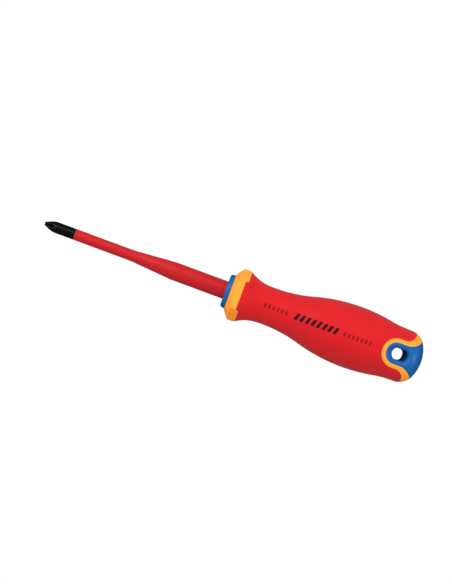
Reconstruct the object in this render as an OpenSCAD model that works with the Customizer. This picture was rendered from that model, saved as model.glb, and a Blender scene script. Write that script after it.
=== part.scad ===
// Insulated screwdriver for cross-drive screws, 100 mm blade, three-colour moulded handle.
// X runs along the turning axis with the point at -X, Z runs along the hanging slot,
// and the origin is where the axis crosses the front face of the handle's collar.

/* [Blade] */
// Length of the blade in front of the handle
blade_len = 100; // [97:1:110]
// Diameter of the working end, flush with the slim sleeve
point_end_d = 5.9; // [5.7:0.1:6]
// Length of bare steel in front of the sleeve
bare_len = 16.6; // [14:0.2:20]
// Diameter of the blunt point
point_d = 1.9; // [1.7:0.1:2.1]
// Angle between the point's cone and the axis
point_angle = 26; // [24:1:28]
// Radius of the wheel that grinds the four flutes
flute_wheel_r = 10; // [8:0.5:12]
// Diameter of the slim neck under the thin sleeve
neck_d = 4.2; // [3.8:0.1:4.4]
// Diameter of the shank
shank_d = 6; // [5.8:0.1:6.2]
// How far the shank runs into the handle
tang_len = 70; // [66:1:76]

/* [Blade insulation] */
// Outer diameter of the thick part
sleeve_d = 9.55; // [9.2:0.05:9.8]
// Length of the thick part in front of the handle
sleeve_thick_len = 28.8; // [26:0.2:32]
// Length of the cone between the thick and the slim part
sleeve_cone_len = 22.7; // [20:0.1:25]
// How far the sleeve runs into the handle
sleeve_root_len = 18; // [16:0.5:20]

/* [Handle] */
// Overall length of the handle
handle_len = 108.2; // [107.6:0.1:109]
// Diameter of the waist behind the bolster
waist_d = 20.1; // [19.6:0.1:20.6]
// Diameter of the belly
belly_d = 33; // [32.6:0.1:33.4]
// Where along the axis the belly is widest
belly_x = 70; // [69:0.5:71]
// Diameter of the tail at the hanging slot
tail_d = 28; // [27.6:0.1:28.4]
// Thickness of the soft grip
grip_wall = 1.8; // [1.5:0.1:2]
// Thickness of the middle layer under the grip
middle_wall = 1.2; // [1:0.1:1.4]

/* [Collar and bolster] */
// Diameter of the collar at its front
collar_d = 17.8; // [17.4:0.1:18]
// Length of the collar
collar_len = 2.6; // [2.2:0.1:2.8]
// Distance across the bolster's flats
bolster_af = 25; // [24.6:0.1:25.4]
// Diameter across the bolster's rounded corners
bolster_d = 28.2; // [28:0.1:28.4]
// Where the bolster ends and the grip begins
bolster_end_x = 10; // [9.8:0.1:10.4]

/* [Hanging eye] */
// Where the middle of the slot lies along the axis
slot_x = 94.4; // [94.2:0.1:94.6]
// Length of the slot
slot_len = 9.4; // [9:0.1:9.6]
// Width of the slot
slot_w = 6; // [5.8:0.1:6.2]
// Radius of the slot's corners
slot_corner_r = 2.3; // [1.8:0.1:2.6]
// Half thickness of the handle at the bottom of the dish round the slot
dish_z = 11.3; // [11:0.1:11.8]
// Radius of the dish
dish_r = 6; // [5.6:0.1:6.4]

/* [Hidden] */
$fn = 96;
cut = 60;               // larger than any radius, for cutting tools
arc_error = 0.03;       // how far a chord of the outline may lie from its arc

// Handle outline: one chain of arcs and lines, each tangent to the next.
waist_front_x = 22;
waist_rear_x = 24.3;
flare_r = 22;           // hollow between bolster and waist
shoulder_r = 4;         // rounding between bolster and hollow
rise_r = 73;            // hollow from waist to belly
belly_r = 92;           // belly arc
tail_r = 55;            // hollow in front of the tail
corner_r = 9;           // rounding between tail and end cap
cap_r = 20.5;           // end cap
waist_y = waist_d / 2;
belly_y = belly_d / 2;
tail_y = tail_d / 2;
bolster_y = bolster_d / 2;
belly_c = [belly_x, belly_y - belly_r];
flare_c = [waist_front_x, waist_y + flare_r];
// The two hollows touch the belly arc, so their centres lie at the sum of the radii.
rise_c = [
    belly_c.x - sqrt((belly_r + rise_r) ^ 2 - (waist_y + rise_r - belly_c.y) ^ 2),
    waist_y + rise_r
];
tail_c = [
    belly_c.x + sqrt((belly_r + tail_r) ^ 2 - (tail_y + tail_r - belly_c.y) ^ 2),
    tail_y + tail_r
];
shoulder_c = [
    flare_c.x - sqrt((flare_r + shoulder_r) ^ 2 - (flare_c.y - bolster_y + shoulder_r) ^ 2),
    bolster_y - shoulder_r
];
cap_c = [handle_len - cap_r, 0];
corner_c = [cap_c.x + sqrt((cap_r - corner_r) ^ 2 - (tail_y - corner_r) ^ 2), tail_y - corner_r];

// Bolster: front cone up to the corners, rounded corners between the flats.
bolster_front_y = 9.7;
bolster_cone_x = 6;
bolster_corner_r = 2;
tongue_w = 15.8;        // the grip's tongue on the top and bottom flats
tongue_x = 8.4;
tongue_r = 0.75;
tongue_z = 10.6;

// Boundaries round the hanging eye, seen along Z: a round nose, a straight waist,
// then a flare round each lobe.
eye_x = 93.3;
trim_nose_r = 7.85;     // grip to trim
trim_lobe_x = 95.8;
trim_lobe_r = 5;
core_nose_r = 5.7;      // trim to core
core_lobe_x = 97.7;
core_lobe_r = 7.9;
dish_x = [slot_x - 0.5, slot_x + 1.8];  // centres of the dish's two round ends

// Anchors between the layers
sleeve_root_d = 9.1;
sleeve_groove = [1.6, 0.5];          // width and depth
sleeve_groove_xs = [5, 9, 13];
core_groove = [3, 0.8];
core_front_groove_xs = [14];
core_groove_xs = [30, 38];
core_key = [34, 4, 1.4];             // length, width and depth of the keyways along the belly
window_len = 22;
window_w = 6;
window_x = 60;
wing = [9, 8.6, 1.5];                // length, span and thickness of the tang's wings
wing_xs = [44, 56];
point_bevel = 1;

// A solid turned about the X axis from shapes drawn as [distance from the axis, place along X].
module turned()
    rotate([0, 90, 0])
        rotate_extrude($fn = 144)
            children();

// A band from x0 to x1, between two radii, for use inside turned().
module band(x0, x1, r1, r0 = 0)
    translate([r0, x0])
        square([r1 - r0, x1 - x0]);

// A disc of the outline, placed by its centre [x, radius].
module disc(c, r)
    translate([c.y, c.x])
        circle(r, $fn = 180);

// Where two tangent arcs meet along X, on the line between their centres.
function meet_x(c, r, other) = c.x + r * (other.x - c.x) / norm(other - c);

// Points along an arc about c from x0 up to but not including x1; side is 1 above the centre
// and -1 below it.
function arc(c, r, x0, x1, side) =
    let (
        t0 = asin((x0 - c.x) / r),
        t1 = asin((x1 - c.x) / r),
        n = ceil((t1 - t0) / (2 * acos(1 - arc_error / r)))
    )
    [for (i = [0:n - 1]) let (t = t0 + (t1 - t0) * i / n) c + r * [sin(t), side * cos(t)]];

// Half of the handle's outline as [x, radius], drawn inside the surface by inset.
function handle_outline(inset) =
    let (
        x_shoulder = meet_x(shoulder_c, shoulder_r - inset, flare_c),
        x_rise = meet_x(belly_c, belly_r - inset, rise_c),
        x_fall = meet_x(belly_c, belly_r - inset, tail_c),
        x_corner = meet_x(cap_c, cap_r - inset, corner_c)
    )
    concat(
        [[collar_len, 0], [collar_len, bolster_front_y - inset], [bolster_cone_x, bolster_y - inset]],
        arc(shoulder_c, shoulder_r - inset, shoulder_c.x, x_shoulder, 1),
        arc(flare_c, flare_r + inset, x_shoulder, waist_front_x, -1),
        [[waist_front_x, waist_y - inset]],
        arc(rise_c, rise_r + inset, rise_c.x, x_rise, -1),
        arc(belly_c, belly_r - inset, x_rise, x_fall, 1),
        arc(tail_c, tail_r + inset, x_fall, tail_c.x, -1),
        [[tail_c.x, tail_y - inset]],
        arc(corner_c, corner_r - inset, corner_c.x, x_corner, 1),
        arc(cap_c, cap_r - inset, x_corner, handle_len - inset, 1),
        [[handle_len - inset, 0]]
    );

// Hexagon with rounded corners and two flats facing +Z and -Z, extruded along X.
module hex_bar(af, corner_r, x0, x1) {
    reach = (af / 2 - corner_r) / cos(30);
    translate([x0, 0, 0])
        rotate([90, 0, 90])
            linear_extrude(x1 - x0) {
                for (a = [0:60:300]) {
                    rotate(a)
                        translate([reach, 0])
                            circle(corner_r);
                    rotate(a + 30)
                        translate([0, -reach / 2])
                            square([af / 2, reach]);
                }
            }
}

// The whole handle as one body, drawn inside its surface by inset.
module handle_body(inset = 0) {
    hex_end_x = 14;
    intersection() {
        turned()
            polygon([for (p = handle_outline(inset)) [p.y, p.x]]);
        union() {
            hex_bar(bolster_af - 2 * inset, bolster_corner_r, collar_len, hex_end_x);
            turned()
                band(hex_end_x - 1, handle_len + 1, belly_d);
        }
    }
}

// Flat outline of what lies behind a boundary round the eye.
module eye_outline(nose_r, lobe_x, lobe_r) {
    end_x = handle_len + 5;
    translate([eye_x, 0])
        circle(nose_r);
    translate([eye_x, -nose_r])
        square([end_x - eye_x, 2 * nose_r]);
    for (side = [-1, 1])
        scale([1, side])
            difference() {
                translate([lobe_x, 0])
                    square([end_x - lobe_x, cut]);
                translate([lobe_x, nose_r + lobe_r])
                    circle(lobe_r);
                translate([lobe_x - 1, nose_r + lobe_r])
                    square([lobe_r + 1, cut]);
            }
}

module through_z()
    translate([0, 0, -cut / 2])
        linear_extrude(cut)
            children();

// Everything behind the grip's rear edge, and everything behind the trim's rear edge.
module trim_region()
    through_z()
        eye_outline(trim_nose_r, trim_lobe_x, trim_lobe_r);

module eye_region()
    through_z()
        eye_outline(core_nose_r, core_lobe_x, core_lobe_r);

// Slot through the eye, and the dish round it on both faces.
module slot_and_dish() {
    reach = [slot_len / 2 - slot_corner_r, slot_w / 2 - slot_corner_r];
    translate([slot_x, 0, -cut / 2]) {
        for (x = [-reach.x, reach.x], y = [-reach.y, reach.y])
            translate([x, y, 0])
                cylinder(h = cut, r = slot_corner_r);
        for (size = [[slot_len, 2 * reach.y], [2 * reach.x, slot_w]])
            translate([-size.x / 2, -size.y / 2, 0])
                cube([size.x, size.y, cut]);
    }
    for (side = [-1, 1])
        translate([0, 0, side * (dish_z + dish_r)]) {
            for (x = dish_x)
                translate([x, 0, 0])
                    sphere(dish_r);
            translate([dish_x[0], 0, 0])
                rotate([0, 90, 0])
                    cylinder(h = dish_x[1] - dish_x[0], r = dish_r);
        }
}

// Outline of the steel rod, in front of and inside the handle.
module rod_outline() {
    end_r = point_end_d / 2;
    blend_r = 8;            // rounding between the point's cone and the working end
    blend_cut = 2;          // the cone stands this far in front of the rounding's own edge
    step_len = 8;           // the neck reaches full thickness this far inside the thick sleeve
    cone_len = (end_r - point_d / 2) / tan(point_angle);
    blend_x = -blade_len + cone_len + blend_r * tan(point_angle / 2);
    intersection() {
        polygon([
            [0, -blade_len],
            [point_d / 2, -blade_len],
            [end_r, cone_len - blade_len],
            [end_r, -blade_len + bare_len],
            [0, -blade_len + bare_len]
        ]);
        union() {
            disc([blend_x, end_r - blend_r], blend_r);
            band(blend_x, -blade_len + bare_len, end_r);
            polygon([
                [0, -blade_len],
                [end_r, -blade_len],
                [end_r, -blade_len + cone_len - blend_cut],
                [0, -blade_len + cone_len]
            ]);
        }
    }
    neck_end_x = -sleeve_thick_len - sleeve_cone_len;
    band(-blade_len + bare_len, neck_end_x, neck_d / 2);
    polygon([
        [0, neck_end_x],
        [neck_d / 2, neck_end_x],
        [shank_d / 2, -sleeve_thick_len - step_len],
        [shank_d / 2, tang_len - point_bevel],
        [shank_d / 2 - point_bevel, tang_len],
        [0, tang_len]
    ]);
}

module wings()
    for (i = [0:1])
        translate([wing_xs[i], 0, 0])
            rotate([90 * i, 0, 0])
                translate([0, -wing[1] / 2, -wing[2] / 2])
                    cube(wing);

// One flute: the V-edged grinding wheel stands beside the point, at its greatest depth on the tip.
module flute_wheel() {
    edge = 4;               // depth of the wheel's V edge
    rotate([90, 0, 0])
        rotate_extrude()
            polygon([
                [flute_wheel_r, 0],
                [flute_wheel_r - edge, edge],
                [0, edge],
                [0, -edge],
                [flute_wheel_r - edge, -edge]
            ]);
}

module blade_solid() {
    flute_bottom = 0.7;     // distance from the axis to the bottom of the flute at the tip
    rib = [4, 1.6];         // length and side of the square bar whose edges are the small ribs
    difference() {
        turned()
            rod_outline();
        for (a = [0:90:270])
            rotate([a, 0, 0])
                translate([-blade_len, 0, flute_bottom + flute_wheel_r])
                    flute_wheel();
    }
    // Four small ribs between the point's wings, which run out into the flutes.
    intersection() {
        turned()
            rod_outline();
        rotate([45, 0, 0])
            translate([-blade_len - 1, -rib[1] / 2, -rib[1] / 2])
                cube([rib[0] + 1, rib[1], rib[1]]);
    }
    wings();
}

module blade()
    color("#2b2d30")
        blade_solid();

// The sleeve without its bore.
module sleeve_envelope()
    turned()
        difference() {
            polygon([
                [0, -blade_len + bare_len],
                [point_end_d / 2, -blade_len + bare_len],
                [point_end_d / 2, -sleeve_thick_len - sleeve_cone_len],
                [sleeve_d / 2, -sleeve_thick_len],
                [sleeve_d / 2, 0],
                [sleeve_root_d / 2, 0],
                [sleeve_root_d / 2, sleeve_root_len],
                [0, sleeve_root_len]
            ]);
            for (x = sleeve_groove_xs)
                band(x, x + sleeve_groove[0], sleeve_d, sleeve_root_d / 2 - sleeve_groove[1]);
        }

module blade_insulation()
    color("#ce2c31")
        difference() {
            sleeve_envelope();
            turned()
                rod_outline();
        }

// The core's body without its eye: collar, straight part and the body under the grip, with its anchors.
module core_trunk() {
    collar_round = 1.1;
    collar_flare = 0.25;
    sleeve_gap = 0.25;      // width of the groove round the sleeve in the collar's front face
    collar_y = collar_d / 2;
    groove_y = sleeve_d / 2 + sleeve_gap;
    root_y = sleeve_root_d / 2;
    core_inset = grip_wall + middle_wall;
    core_y = waist_y - core_inset;
    turned()
        difference() {
            union() {
                polygon([
                    [0, 0],
                    [collar_y, 0],
                    [collar_y + collar_flare, collar_len],
                    [0, collar_len]
                ]);
                band(0, waist_rear_x, core_y);
            }
            difference() {
                band(-1, collar_round, cut, collar_y - collar_round);
                disc([collar_round, collar_y - collar_round], collar_round);
            }
            polygon([
                [0, -1],
                [groove_y, -1],
                [groove_y, 0],
                [root_y, groove_y - root_y],
                [0, groove_y - root_y]
            ]);
            for (x = core_front_groove_xs)
                band(x, x + core_groove[0], cut, core_y - core_groove[1]);
        }
    difference() {
        handle_body(core_inset);
        turned() {
            band(0, waist_rear_x, cut);
            for (x = core_groove_xs)
                band(x, x + core_groove[0], cut, core_y - core_groove[1]);
        }
        for (a = [45:90:315])
            rotate([a, 0, 0])
                translate([belly_x - core_key[0] / 2, -core_key[1] / 2, belly_y - core_inset - core_key[2]])
                    cube([core_key[0], core_key[1], cut]);
    }
}

module core_solid()
    difference() {
        union() {
            core_trunk();
            intersection() {
                eye_region();
                handle_body();
            }
        }
        slot_and_dish();
    }

module handle_core()
    color("#1b6cb4")
        difference() {
            core_solid();
            sleeve_envelope();
            turned()
                rod_outline();
            wings();
        }

// The grip's tongue outline on the top and bottom flats, with its S-shaped steps.
module tongue_outline() {
    half_w = tongue_w / 2;
    translate([tongue_x + tongue_r, -half_w])
        square([bolster_end_x - tongue_x, tongue_w]);
    translate([tongue_x, tongue_r - half_w])
        square([bolster_end_x - tongue_x, tongue_w - 2 * tongue_r]);
    for (side = [-1, 1])
        scale([1, side]) {
            translate([tongue_x + tongue_r, half_w - tongue_r])
                circle(tongue_r);
            difference() {
                translate([bolster_end_x - tongue_r, 0])
                    square([tongue_r, half_w + tongue_r]);
                translate([bolster_end_x - tongue_r, half_w + tongue_r])
                    circle(tongue_r);
            }
        }
}

module tongues()
    for (turn = [0, 180])
        rotate([turn, 0, 0])
            translate([0, 0, tongue_z])
                linear_extrude(cut)
                    tongue_outline();

// Windows in the middle layer that the grip's lugs fill.
module windows()
    for (a = [0:90:270])
        rotate([a, 0, 0]) {
            for (side = [-1, 1])
                translate([window_x + side * (window_len - window_w) / 2, 0, 0])
                    cylinder(h = cut, d = window_w);
            translate([window_x - (window_len - window_w) / 2, -window_w / 2, 0])
                cube([window_len - window_w, window_w, cut]);
        }

// What the grip leaves free behind its front edge.
module bolster_region()
    difference() {
        turned()
            band(0, bolster_end_x, cut);
        tongues();
    }

module under_layer()
    difference() {
        handle_body(grip_wall);
        windows();
    }

module middle_layer()
    color("#f9b233")
        difference() {
            union() {
                intersection() {
                    handle_body();
                    union() {
                        bolster_region();
                        trim_region();
                    }
                }
                under_layer();
            }
            core_trunk();
            eye_region();
        }

module grip()
    color("#e5252a")
        difference() {
            handle_body();
            turned()
                band(0, tongue_x, cut);
            bolster_region();
            trim_region();
            under_layer();
            handle_body(grip_wall + middle_wall);
        }

blade();
blade_insulation();
handle_core();
middle_layer();
grip();
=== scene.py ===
# Insulated screwdriver: the finished look of each piece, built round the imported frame.
# Lengths are in millimetres until a mesh is made. X runs along the turning axis with the point
# at -X, Z runs along the hanging slot, and an angle round X starts at +Y and grows towards +Z.
import math

import bmesh
import bpy
import numpy as np
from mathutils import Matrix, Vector


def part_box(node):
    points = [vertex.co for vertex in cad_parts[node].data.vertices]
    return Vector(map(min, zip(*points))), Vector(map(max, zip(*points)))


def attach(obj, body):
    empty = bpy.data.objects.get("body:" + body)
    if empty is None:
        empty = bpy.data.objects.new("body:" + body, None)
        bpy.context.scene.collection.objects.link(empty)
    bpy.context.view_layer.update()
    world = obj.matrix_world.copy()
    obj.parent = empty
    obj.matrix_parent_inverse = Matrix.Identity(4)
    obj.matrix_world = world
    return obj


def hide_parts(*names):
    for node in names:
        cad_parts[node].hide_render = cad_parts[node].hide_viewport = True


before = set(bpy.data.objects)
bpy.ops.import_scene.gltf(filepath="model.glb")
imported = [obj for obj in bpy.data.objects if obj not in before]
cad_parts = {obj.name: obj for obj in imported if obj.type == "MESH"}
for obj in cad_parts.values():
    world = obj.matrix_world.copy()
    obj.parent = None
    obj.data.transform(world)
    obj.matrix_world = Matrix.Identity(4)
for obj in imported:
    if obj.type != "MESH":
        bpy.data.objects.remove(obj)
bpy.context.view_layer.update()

MM = 0.001
WELD = 1e-7             # points closer than this many metres are one
SHARP_ANGLE = math.radians(38)
AROUND = 320            # points round the handle; a multiple of 8
QUARTER = math.pi / 2


def span(node, axis):
    """Lowest and highest coordinate of a CAD node along an axis."""
    low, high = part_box(node)
    return low[axis] / MM, high[axis] / MM


# ---------------------------------------------------------------- sizes

POINT_X, TANG_X = span("blade", 0)
SLEEVE_X, SLEEVE_ROOT_X = span("blade_insulation", 0)
COLLAR_X, END_X = span("handle_core", 0)
BOLSTER_X = span("middle_layer", 0)[0]
SLEEVE_R = span("blade_insulation", 1)[1]
BELLY_R = span("grip", 1)[1]

# Blade
SHANK_R = 3.0
NECK_R = 2.1
POINT_R = 0.95
BLADE_END_R = 2.95      # working end, flush with the slim sleeve
POINT_ANGLE = math.radians(26)
POINT_BLEND = 8.0       # rounding between the point's cone and the working end
FLUTE_BOTTOM = 0.7      # distance from the axis to the flute's bottom at the tip
FLUTE_WHEEL_R = 10.0
RIB_REACH = 1.13        # distance from the axis to the edge of a rib between the wings
RIB_LEN = 4.0
WORN_SHARE = 0.85       # only the outer part of the wings rubs against a screw
TIP_BEVEL = (0.15, 0.88)    # length of the bevel at the tip, and the share of the width it leaves
END_BEVEL = (0.3, 0.05)     # length and depth of the working end's bevel against the sleeve
FLUTE_RUN_OUT = 0.4     # the closely spaced sections go on this far behind the flutes
NECK_STEP = 8.0         # the neck is at full thickness this far in front of the thick sleeve
TANG_BEVEL = 1.0

# Sleeve
THICK_LEN = 28.8
CONE_LEN = 22.7
ROOT_R = 4.55           # inside the handle
SLEEVE_GAP = 0.25       # groove round the sleeve in the collar's front face
SLEEVE_BLEND = 0.12     # rounding where the cone meets the slim and the thick part
SLEEVE_LIP = 0.35       # rounding of the front edge
SLEEVE_GRID = (260, 97)     # rings along the sleeve, and points in a ring, the first one twice

# Handle outline: arcs and lines, each tangent to the next, as centre [x, radius]
WAIST_R = 10.05
WAIST_X = 22.0
TAIL_R = 14.0
BOLSTER_R = 14.1
FLARE_ARC = 22.0
SHOULDER_ARC = 4.0
RISE_ARC = 73.0
BELLY_ARC = 92.0
TAIL_ARC = 55.0
CORNER_ARC = 9.0
CAP_ARC = 20.5
BELLY_C = (70.0, BELLY_R - BELLY_ARC)
CAP_C = (END_X - CAP_ARC, 0.0)

# Collar and bolster
COLLAR_R = 8.9
COLLAR_ROUND = 1.1
COLLAR_FLARE = 0.25
CONE_FRONT_R = 9.7
CONE_END_X = 6.0
BOLSTER_AF = 25.0
BOLSTER_CORNER = 2.0
BOLSTER_END_X = 10.0
HEX_END_X = 14.0
EDGE_ROUND = 0.7        # how softly the facets run into the cone and the hollow
TONGUE_HALF = 7.9
TONGUE_X = 8.4
TONGUE_R = 0.75

# Layers
GRIP_WALL = 1.8
MIDDLE_WALL = 1.2
CORE_INSET = GRIP_WALL + MIDDLE_WALL
CORE_R = WAIST_R - CORE_INSET
SEAM_ROUND = 0.2        # rounded edge on both sides of a seam
HIDDEN_ROWS = np.linspace(0, 1, 40)     # places of the rows on a wall hidden between layers

# Hanging eye, seen along Z
EYE_X = 93.3
TRIM_NOSE = 7.85
TRIM_LOBE_X = 95.8
TRIM_LOBE = 5.0
CORE_NOSE = 5.7
CORE_LOBE_X = 97.7
CORE_LOBE = 7.9
SLOT_X = 94.4
SLOT_HALF = (4.7, 3.0)  # half length and half width
SLOT_CORNER = 2.3
SLOT_ROUND = 0.5        # rounded rim of the slot
DISH_X = (SLOT_X - 0.5, SLOT_X + 1.8)
DISH_R = 6.0
DISH_Z = 11.3
DISH_EDGE = 0.8

# Printed rows on the top of the grip, as the middle of the first mark and the number of marks
BARS = (39.2, 8)
FRONT_TICKS = (21.9, 6)
REAR_TICKS = (64.8, 7)
BAR = (2.98, 1.7, 3.6, 0.35)    # pitch, width, height and slant of a bold bar
TICK = (2.3, 1.1, 2.3)  # pitch, width and height of a small mark
INK = 0.06              # thickness of the printed film, half of it sunk in the grip

# Floor and surroundings
FILL = 0.90             # even light from all round
BACKDROP = 1.06         # brightness of the surroundings and the floor's glow to the camera
FLOOR_HALF = 3.0        # half the floor's side, in metres
FLOOR_DROP = 60.0       # the floor's distance below the axis, so that light gets under the tool
FLOOR_GLOW = 0.95       # share of the floor's look that is an even glow
FLOOR_BOUNCE = 0.4      # how much light the floor sends back up
FLOOR_MIRRORED = 0.02   # the same as seen in a gloss, so that the slot stays dark inside

# Lamps: place, aim and size in metres, and power in watts
LAMPS = {
    "key": ((-0.45, 0.52, 0.9), (0, 0, 0), (0.9, 0.6), 10.6),
    "side": ((0.85, 0.05, 0.3), (0.1, 0, 0), (0.3, 0.3), 2.2),
}

# Camera
LENS = 91.3
SENSOR = 36.0
CAMERA_PLACE = (0.0006, -0.0008, 0.77)  # in metres
CAMERA_TURN = math.radians(20.33)


# ---------------------------------------------------------------- handle surface

def hollow_centre(arc, low, side):
    """Centre of a hollow arc that touches the belly arc, in front of it (-1) or behind it (1)."""
    rise = low + arc - BELLY_C[1]
    return BELLY_C[0] + side * math.sqrt((BELLY_ARC + arc) ** 2 - rise ** 2), low + arc


RISE_C = hollow_centre(RISE_ARC, WAIST_R, -1)
TAIL_C = hollow_centre(TAIL_ARC, TAIL_R, 1)
FLARE_C = (WAIST_X, WAIST_R + FLARE_ARC)
SHOULDER_C = (
    WAIST_X - math.sqrt((FLARE_ARC + SHOULDER_ARC) ** 2
                        - (FLARE_C[1] - BOLSTER_R + SHOULDER_ARC) ** 2),
    BOLSTER_R - SHOULDER_ARC,
)
CORNER_C = (
    CAP_C[0] + math.sqrt((CAP_ARC - CORNER_ARC) ** 2 - (TAIL_R - CORNER_ARC) ** 2),
    TAIL_R - CORNER_ARC,
)


def meet_x(centre, arc, other):
    """Where two tangent arcs meet, on the line through their centres."""
    return centre[0] + arc * (other[0] - centre[0]) / math.dist(centre, other)


def outline_arcs(inset):
    """The outline's arcs as (first x, last x, centre, radius, side); side is -1 for a hollow."""
    shoulder, rise = SHOULDER_ARC - inset, BELLY_ARC - inset
    x_flare = meet_x(SHOULDER_C, shoulder, FLARE_C)
    x_belly = meet_x(BELLY_C, rise, RISE_C)
    x_fall = meet_x(BELLY_C, rise, TAIL_C)
    x_cap = meet_x(CAP_C, CAP_ARC - inset, CORNER_C)
    return (
        (SHOULDER_C[0], x_flare, SHOULDER_C, shoulder, 1),
        (x_flare, FLARE_C[0], FLARE_C, FLARE_ARC + inset, -1),
        (RISE_C[0], x_belly, RISE_C, RISE_ARC + inset, -1),
        (x_belly, x_fall, BELLY_C, rise, 1),
        (x_fall, TAIL_C[0], TAIL_C, TAIL_ARC + inset, -1),
        (CORNER_C[0], x_cap, CORNER_C, CORNER_ARC - inset, 1),
        (x_cap, END_X - inset, CAP_C, CAP_ARC - inset, 1),
    )


def turned_radius(x, inset=0.0):
    """Radius of the turned outline at x."""
    cone = (BOLSTER_R - CONE_FRONT_R) / (CONE_END_X - BOLSTER_X)
    r = np.minimum(CONE_FRONT_R + (x - BOLSTER_X) * cone, BOLSTER_R) - inset
    for first, last, centre, arc, side in outline_arcs(inset):
        reach = np.clip(x, first, last) - centre[0]
        height = centre[1] + side * np.sqrt(np.maximum(arc ** 2 - reach ** 2, 0))
        r = np.where(x >= first, height, r)
    return r


def facet_radius(angle, inset=0.0):
    """Radius of the bolster's hexagon with rounded corners, two flats facing +Z and -Z."""
    flat = BOLSTER_AF / 2 - inset
    sixth = math.pi / 6
    reach = (flat - BOLSTER_CORNER) / math.cos(sixth)
    from_flat = np.abs(np.mod(angle, 2 * sixth) - sixth)
    from_corner = sixth - from_flat
    side = reach * np.sin(from_corner)
    corner = reach * np.cos(from_corner) + np.sqrt(np.maximum(BOLSTER_CORNER ** 2 - side ** 2, 0))
    corner_edge = math.atan(BOLSTER_CORNER * math.sin(sixth)
                            / (reach + BOLSTER_CORNER * math.cos(sixth)))
    return np.where(from_corner < corner_edge, corner, flat / np.cos(from_flat))


def smooth_min(a, b, width):
    """The lower of a and b, with their crossing rounded over the width."""
    share = np.clip(0.5 + 0.5 * (b - a) / width, 0, 1)
    return b + (a - b) * share - width * share * (1 - share)


def surface(x, angle, inset=0.0):
    """Points of the handle's outer surface, or of a surface inside it."""
    turned = turned_radius(x, inset)
    facets = np.where(x < HEX_END_X, facet_radius(angle, inset), 2 * BELLY_R)
    r = smooth_min(turned, facets, EDGE_ROUND)
    return np.stack([x + 0 * r, r * np.cos(angle), r * np.sin(angle)], axis=-1)


def unit(v):
    """Vectors made one long."""
    return v / np.maximum(np.linalg.norm(v, axis=-1, keepdims=True), 1e-12)


def surface_normal(x, angle):
    """Outward direction of the handle's outer surface."""
    step = 1e-3
    along = surface(x + step, angle) - surface(x - step, angle)
    around = surface(x, angle + step) - surface(x, angle - step)
    return unit(np.cross(around, along))


# ---------------------------------------------------------------- seams between the layers

def bisect(f, low, high, turns=45):
    """Where f changes from negative to positive between low and high, for whole arrays."""
    low, high = np.array(low, float), np.array(high, float)
    for _ in range(turns):
        middle = (low + high) / 2
        outside = f(middle) > 0
        high = np.where(outside, middle, high)
        low = np.where(outside, low, middle)
    return (low + high) / 2


def arc_points(centre, r, start, end, count=60):
    """Points [x, y] on an arc, by angles in degrees."""
    turn = np.radians(np.linspace(start, end, count))
    return np.stack([centre[0] + r * np.cos(turn), centre[1] + r * np.sin(turn)], axis=-1)


def silhouette(x):
    """Half width of the handle at x, seen along Z."""
    return surface(np.asarray(x, float), 0.0)[..., 1]


def seam_ring(path):
    """A seam round the handle as (x, angle) arrays, from a quarter of it seen along Z.
    The path runs from the side of the handle, where it may start outside, to the middle."""
    inside = path[:, 1] < silhouette(path[:, 0])
    first = int(np.argmax(inside))
    if first:
        out, into = path[first - 1], path[first]
        t = bisect(lambda s: silhouette(out[0] + s * (into[0] - out[0]))
                   - (out[1] + s * (into[1] - out[1])), 0.0, 1.0)
        path = np.vstack([out + t * (into - out), path[first:]])
    x, y = path[:, 0], path[:, 1]
    angle = bisect(lambda a: y - surface(x, a)[..., 1], np.zeros(len(x)), np.full(len(x), QUARTER))
    angle[0], angle[-1] = 0.0, QUARTER
    points = surface(x, angle)
    length = np.concatenate([[0], np.cumsum(np.linalg.norm(np.diff(points, axis=0), axis=1))])
    even = np.linspace(0, length[-1], AROUND // 4 + 1)
    x, angle = np.interp(even, length, x), np.interp(even, length, angle)
    x = np.concatenate([x, x[-2::-1]])
    angle = np.concatenate([angle, math.pi - angle[-2::-1]])
    return np.concatenate([x, x[-2:0:-1]]), np.concatenate([angle, 2 * math.pi - angle[-2:0:-1]])


def straight_ring(x):
    """A ring at one x, evenly spaced along its length."""
    return seam_ring(np.array([[x, 2 * BELLY_R], [x, 2 * BELLY_R - 1], *[
        [x, y] for y in float(silhouette(x)) * np.cos(np.linspace(1e-3, QUARTER, 90))]]))


def grip_front_ring():
    """Front edge of the grip, with a tongue on the top and bottom flats."""
    sides = np.linspace(1.02 * float(silhouette(BOLSTER_END_X)), TONGUE_HALF + TONGUE_R, 60)
    inner = (BOLSTER_END_X - TONGUE_R, TONGUE_HALF + TONGUE_R)
    outer = (TONGUE_X + TONGUE_R, TONGUE_HALF - TONGUE_R)
    front = np.linspace(TONGUE_HALF - TONGUE_R, 0, 60)[1:]
    return seam_ring(np.vstack([
        np.stack([np.full(len(sides), BOLSTER_END_X), sides], axis=-1)[:-1],
        arc_points(inner, TONGUE_R, 0, -90, 20),
        arc_points(outer, TONGUE_R, 90, 180, 20),
        np.stack([np.full(len(front), TONGUE_X), front], axis=-1),
    ]))


def eye_ring(nose, lobe_x, lobe):
    """A seam round the hanging eye: a flare round each lobe, a straight waist and a round nose."""
    centre = (lobe_x, nose + lobe)
    side = np.linspace(BELLY_R, centre[1], 60)
    return seam_ring(np.vstack([
        np.stack([np.full(len(side), lobe_x + lobe), side], axis=-1)[:-1],
        arc_points(centre, lobe, 0, -90),
        arc_points((EYE_X, 0), nose, 90, 180),
    ]))


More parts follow.
